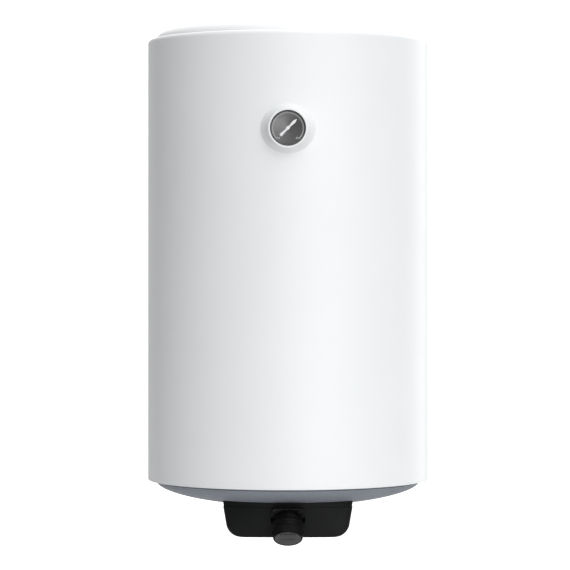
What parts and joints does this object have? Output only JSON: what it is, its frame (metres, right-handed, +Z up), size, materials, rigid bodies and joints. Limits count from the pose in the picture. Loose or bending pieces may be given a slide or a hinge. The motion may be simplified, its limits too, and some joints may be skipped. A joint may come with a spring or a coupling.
{
  "type": "electric tank water heater",
  "caption": "Wall-hung upright cylinder heater in a white shell with domed caps, a dial thermometer near the top and a black cover below with a slanted control knob.",
  "frame": {"origin": "middle of the hanger plate's face that lies against the wall, halfway between its two keyholes", "axes": "+Z up along the tank; +Y into the wall, square to the hanger plate; the thermometer and the knob face -Y"},
  "size_m": [0.45, 0.481, 0.8359],
  "materials": {
    "white_paint": "semi-gloss stove enamel",
    "white_plastic": "satin moulded plastic",
    "grey_plastic": "fine-grained slate-grey plastic",
    "black_plastic": "fine-grained black plastic",
    "knob_black": "satin black plastic",
    "knob_grey": "satin dark grey plastic",
    "tank_enamel": "fired glass enamel on steel",
    "foam": "rigid polyurethane foam",
    "steel": "bare steel",
    "zinc": "zinc plated",
    "brass": "bare brass",
    "copper": "bare copper",
    "magnesium": "cast, dull",
    "rubber": "matte",
    "blue_plastic": "satin",
    "red_plastic": "satin",
    "beige_plastic": "satin",
    "ceramic": "unglazed steatite",
    "dial_grey": "turned dark aluminium",
    "needle_white": "white lacquer",
    "glass": "clear",
    "brown_wire": "PVC insulation",
    "green_wire": "PVC insulation"
  },
  "bodies": {
    "heater": {"outer_shell": "white_paint", "top_cap": "white_plastic", "bottom_cap": "grey_plastic", "inner_tank": "tank_enamel", "foam_insulation": "foam", "hanger_bracket": "zinc", "wall_spacer_left": "rubber", "wall_spacer_right": "rubber", "cold_nipple": "zinc", "hot_nipple": "zinc", "cold_collar": "blue_plastic", "hot_collar": "red_plastic", "hot_standpipe": "beige_plastic", "cold_diffuser": "beige_plastic", "flange_plate": "steel", "flange_gasket": "rubber", "flange_bolt_1": "zinc", "flange_bolt_2": "zinc", "flange_bolt_3": "zinc", "flange_bolt_4": "zinc", "flange_bolt_5": "zinc", "heating_element": "copper", "element_insulator_left": "ceramic", "element_insulator_right": "ceramic", "element_terminal_left": "zinc", "element_terminal_right": "zinc", "anode_rod": "magnesium", "anode_nut": "brass", "sensor_pocket": "copper", "safety_cutout": "beige_plastic", "control_cover": "black_plastic", "cover_screw_1": "zinc", "cover_screw_2": "zinc", "cover_screw_3": "zinc", "cover_screw_4": "zinc", "cable_gland": "rubber", "gland_locknut": "black_plastic", "knob_collar": "knob_black", "thermostat_screw_1": "zinc", "thermostat_screw_2": "zinc", "thermostat_body": "beige_plastic", "thermostat_bulb": "copper", "thermostat_capillary": "copper", "terminal_block": "beige_plastic", "live_lead": "brown_wire", "neutral_lead": "blue_plastic", "earth_lead": "green_wire", "earth_screw": "brass", "gauge_housing": "white_plastic", "gauge_lens": "glass", "gauge_dial": "dial_grey", "gauge_case": "zinc", "gauge_capillary": "copper", "gauge_bulb": "copper"},
    "knob": {"knob_body": "knob_black", "knob_face": "knob_grey", "thermostat_spindle": "zinc"},
    "needle": {"gauge_needle": "needle_white", "gauge_arbor": "brass"},
    "reset": {"reset_button": "red_plastic"}
  },
  "joints": [
    {"name": "knob_turn", "type": "hinge", "parent": "heater", "child": "knob", "pos_m": [0, -0.3994, -0.6114], "axis": [0, 0.5721, 0.8202], "range_deg": [-135, 135]},
    {"name": "needle_turn", "type": "hinge", "parent": "heater", "child": "needle", "pos_m": [0, -0.477, -0.012], "axis": [0, 1, 0], "range_deg": [-180, 90], "stiffness_Nm_per_rad": 0.00002},
    {"name": "reset_press", "type": "slide", "parent": "heater", "child": "reset", "axis": [0, 0, 1], "range_m": [0, 0.0025], "stiffness_N_per_m": 300}
  ]
}
